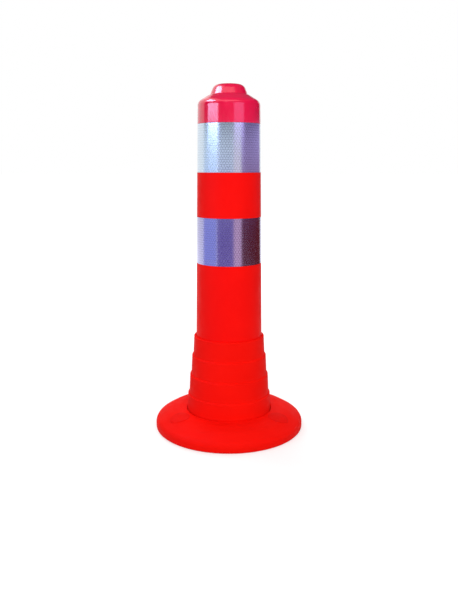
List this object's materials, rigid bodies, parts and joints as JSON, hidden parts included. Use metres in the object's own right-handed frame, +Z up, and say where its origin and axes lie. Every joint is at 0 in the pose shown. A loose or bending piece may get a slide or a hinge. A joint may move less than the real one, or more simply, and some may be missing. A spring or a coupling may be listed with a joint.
{
  "type": "flexible delineator post",
  "caption": "Flexible road delineator: low domed base, stepped elastomer neck that bends flat and springs back, tapered tube with reflective bands, push-in cap.",
  "frame": {"origin": "on the ground, on the post's axis, at the centre of the base's underside", "axes": "+Z up along the post; +Y towards the rear anchor hole, which is away from the viewer in the picture"},
  "size_m": [0.2, 0.2, 0.45],
  "materials": {
    "base_red": "moulded polyurethane, matt, fine grain",
    "neck_red": "elastomer, matt",
    "tube_red": "moulded polyurethane, satin",
    "cap_crimson": "polished moulding",
    "reflective_silver": "prismatic reflective sheeting, silver",
    "steel": "zinc plated",
    "black_nylon": "glass-filled nylon"
  },
  "bodies": {
    "base": {"base_plate": "base_red", "anchor_bush_rear": "steel", "anchor_bush_left": "steel", "anchor_bush_right": "steel", "hole_plug_rear": "base_red", "hole_plug_left": "base_red", "hole_plug_right": "base_red", "neck_clamp_ring": "steel", "clamp_screws": "steel"},
    "neck": {"flex_neck": "neck_red"},
    "post": {"post_tube": "tube_red", "spigot_ring": "black_nylon", "lower_band": "reflective_silver", "upper_band": "reflective_silver", "top_cap": "cap_crimson"}
  },
  "joints": [
    {"name": "bend_fore_aft", "type": "hinge", "parent": "base", "child": "neck", "pos_m": [0, 0, 0.076], "axis": [1, 0, 0], "range_deg": [-90, 90], "stiffness_Nm_per_rad": 30, "deforming": ["flex_neck"]},
    {"name": "bend_sideways", "type": "hinge", "parent": "neck", "child": "post", "pos_m": [0, 0, 0.106], "axis": [0, 1, 0], "range_deg": [-90, 90], "stiffness_Nm_per_rad": 30, "deforming": ["flex_neck"]}
  ]
}
